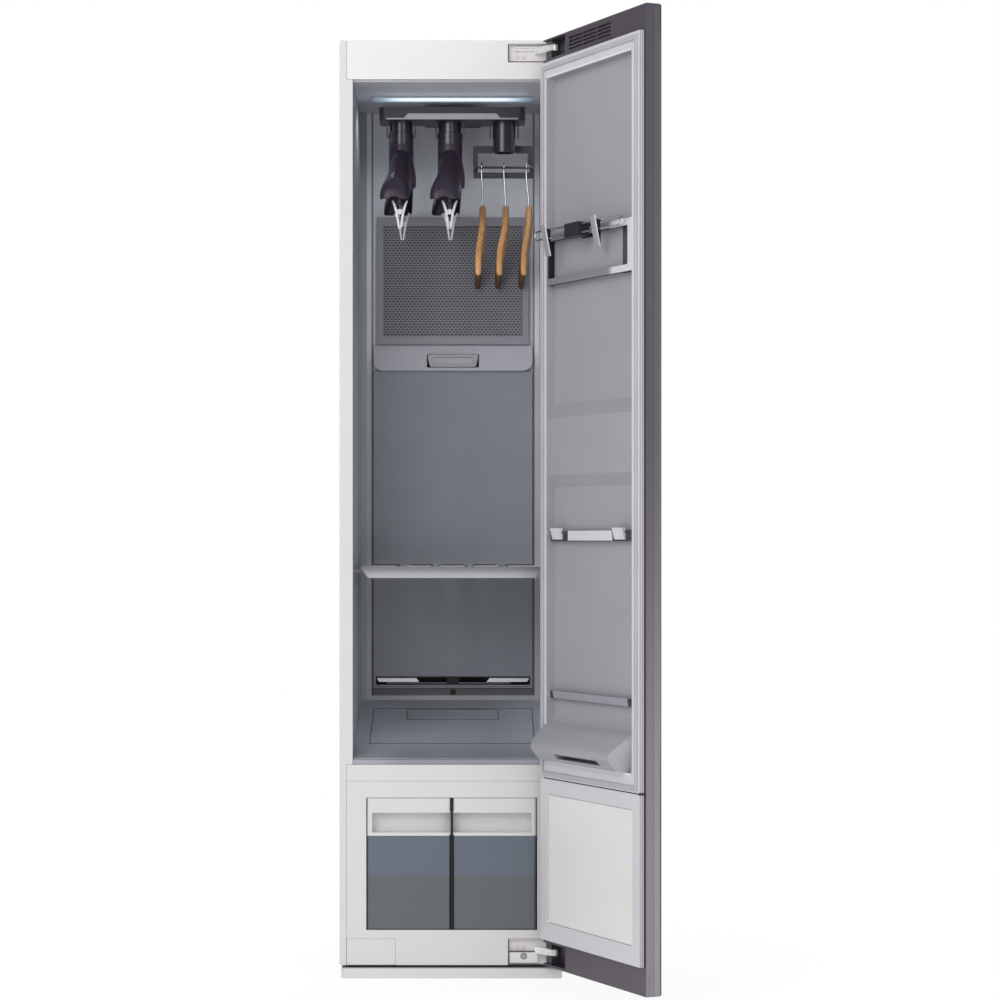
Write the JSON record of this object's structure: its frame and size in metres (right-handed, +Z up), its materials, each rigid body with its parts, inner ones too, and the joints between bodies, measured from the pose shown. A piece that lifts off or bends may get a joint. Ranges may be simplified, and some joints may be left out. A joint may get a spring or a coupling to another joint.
{
  "type": "clothes care steam cabinet",
  "caption": "Tall narrow steam cabinet for clothes with a hinged full-height door, hanging chamber, blown hangers, lift-out shelf and pull-out water tanks.",
  "frame": {"origin": "on the floor under the middle of the cabinet's front face", "axes": "+Z up, +Y from the front into the depth, +X to the right seen from the front"},
  "size_m": [0.6083, 1.0105, 1.85],
  "materials": {
    "white_enamel": "satin",
    "white_abs": "satin",
    "black_plastic": "matte",
    "rubber_black": "matte",
    "zinc_steel": "satin",
    "liner_dark_grey": "satin",
    "liner_mid_grey": "satin",
    "liner_light_grey": "satin",
    "lamp_diffuser": "satin",
    "dock_black": "satin",
    "silver_trim": "satin",
    "hanger_purple_black": "satin",
    "foam": "matte",
    "compressor_black": "gloss",
    "copper_fins": "satin",
    "board_green": "satin",
    "smoke_blue": "gloss",
    "door_glass": "gloss",
    "door_alloy": "satin",
    "gasket_grey": "matte",
    "frame_silver": "satin",
    "rod_chrome": "polished",
    "shelf_silver": "satin",
    "beech": "satin",
    "white_liner": "satin"
  },
  "bodies": {
    "cabinet": {"plinth": "white_enamel", "levelling_feet": "rubber_black", "base_tray": "black_plastic", "side_panel_left": "white_enamel", "side_panel_right": "white_enamel", "top_panel": "white_enamel", "rear_panel": "zinc_steel", "power_inlet": "black_plastic", "top_fascia": "white_abs", "trim_strip": "white_abs", "lower_fascia": "white_abs", "service_cover": "white_abs", "chamber_walls": "liner_dark_grey", "chamber_ceiling": "liner_dark_grey", "led_light": "lamp_diffuser", "chamber_back": "liner_dark_grey", "chamber_floor": "liner_mid_grey", "back_cover": "liner_mid_grey", "air_outlet": "black_plastic", "bright_trims": "silver_trim", "air_dock": "dock_black", "air_nozzles": "dock_black", "hanger_rack": "dock_black", "blower_housing": "black_plastic", "fan_motors": "zinc_steel", "air_duct": "black_plastic", "circulation_duct": "black_plastic", "compressor": "compressor_black", "refrigerant_circuit": "copper_fins", "steam_generator": "zinc_steel", "control_board": "board_green", "tank_bay": "white_abs", "insulation": "foam", "hinge_brackets": "white_enamel", "screws": "zinc_steel"},
    "door": {"door_panel": "door_glass", "door_frame": "door_alloy", "door_trims": "black_plastic", "door_insulation": "foam", "door_liner": "liner_light_grey", "door_lower_liner": "white_liner", "door_gasket": "gasket_grey", "accessory_frame": "frame_silver", "hinge_cups": "black_plastic"},
    "upper_fan": {"blower_impeller": "white_abs"},
    "lower_fan": {"circulation_impeller": "white_abs"},
    "trouser_hanger": {"clip_hanger": "rod_chrome"},
    "press_bar_mid": {"press_bar_middle": "silver_trim"},
    "press_bar_low": {"press_bar_lower": "silver_trim"},
    "clean_tank": {"supply_tank": "smoke_blue"},
    "waste_tank": {"drain_tank": "smoke_blue"},
    "shelf_plate": {"shelf": "shelf_silver"},
    "sump_cover": {"floor_cover": "liner_mid_grey"},
    "filter": {"air_filter": "liner_mid_grey"},
    "deodorizer": {"cartridge": "silver_trim"},
    "hanger_left": {"air_hanger_left": "hanger_purple_black"},
    "hanger_middle": {"air_hanger_middle": "hanger_purple_black"},
    "wood_hanger_1": {"wooden_hanger_1": "beech"},
    "wood_hanger_2": {"wooden_hanger_2": "beech"},
    "wood_hanger_3": {"wooden_hanger_3": "beech"}
  },
  "joints": [
    {"name": "door_swing", "type": "hinge", "parent": "cabinet", "child": "door", "pos_m": [0.203, -0.031, 0.9], "axis": [0, 0, 1], "range_deg": [-113.73, 0]},
    {"name": "clean_tank_slide", "type": "slide", "parent": "cabinet", "child": "clean_tank", "axis": [0, -1, 0], "range_m": [0, 0.17]},
    {"name": "waste_tank_slide", "type": "slide", "parent": "cabinet", "child": "waste_tank", "axis": [0, -1, 0], "range_m": [0, 0.17]},
    {"name": "shelf_slide", "type": "slide", "parent": "cabinet", "child": "shelf_plate", "axis": [0, -1, 0], "range_m": [0, 0.07]},
    {"name": "sump_cover_lift", "type": "slide", "parent": "cabinet", "child": "sump_cover", "axis": [0, 0, 1], "range_m": [0, 0.15]},
    {"name": "filter_pull", "type": "slide", "parent": "cabinet", "child": "filter", "axis": [0, -1, 0], "range_m": [0, 0.012]},
    {"name": "deodorizer_pull", "type": "slide", "parent": "cabinet", "child": "deodorizer", "axis": [0, -1, 0], "range_m": [0, 0.16]},
    {"name": "hanger_left_drop", "type": "slide", "parent": "cabinet", "child": "hanger_left", "axis": [0, 0, -1], "range_m": [0, 0.05]},
    {"name": "hanger_middle_drop", "type": "slide", "parent": "cabinet", "child": "hanger_middle", "axis": [0, 0, -1], "range_m": [0, 0.05]},
    {"name": "wood_hanger_1_swing", "type": "hinge", "parent": "cabinet", "child": "wood_hanger_1", "pos_m": [0.06, 0.25, 1.631], "axis": [-1, 0, 0], "range_deg": [-3, 8]},
    {"name": "wood_hanger_2_swing", "type": "hinge", "parent": "cabinet", "child": "wood_hanger_2", "pos_m": [0.106, 0.25, 1.631], "axis": [-1, 0, 0], "range_deg": [-3, 8]},
    {"name": "wood_hanger_3_swing", "type": "hinge", "parent": "cabinet", "child": "wood_hanger_3", "pos_m": [0.152, 0.25, 1.631], "axis": [-1, 0, 0], "range_deg": [-3, 8]},
    {"name": "trouser_hanger_lift", "type": "slide", "parent": "door", "child": "trouser_hanger", "axis": [0, 0, 1], "range_m": [0, 0.03]},
    {"name": "press_bar_mid_flip", "type": "hinge", "parent": "door", "child": "press_bar_mid", "pos_m": [0.2673, -0.22448, 0.879], "axis": [-0.4024, 0.9155, 0], "range_deg": [0, 80]},
    {"name": "press_bar_low_flip", "type": "hinge", "parent": "door", "child": "press_bar_low", "pos_m": [0.2673, -0.22448, 0.565], "axis": [-0.4024, 0.9155, 0], "range_deg": [0, 80]},
    {"name": "upper_fan_spin", "type": "hinge", "parent": "cabinet", "child": "upper_fan", "pos_m": [0, 0.5, 1.414], "axis": [0, 1, 0], "continuous": true},
    {"name": "lower_fan_spin", "type": "hinge", "parent": "cabinet", "child": "lower_fan", "pos_m": [0, 0.52, 0.3], "axis": [0, 1, 0], "continuous": true}
  ]
}
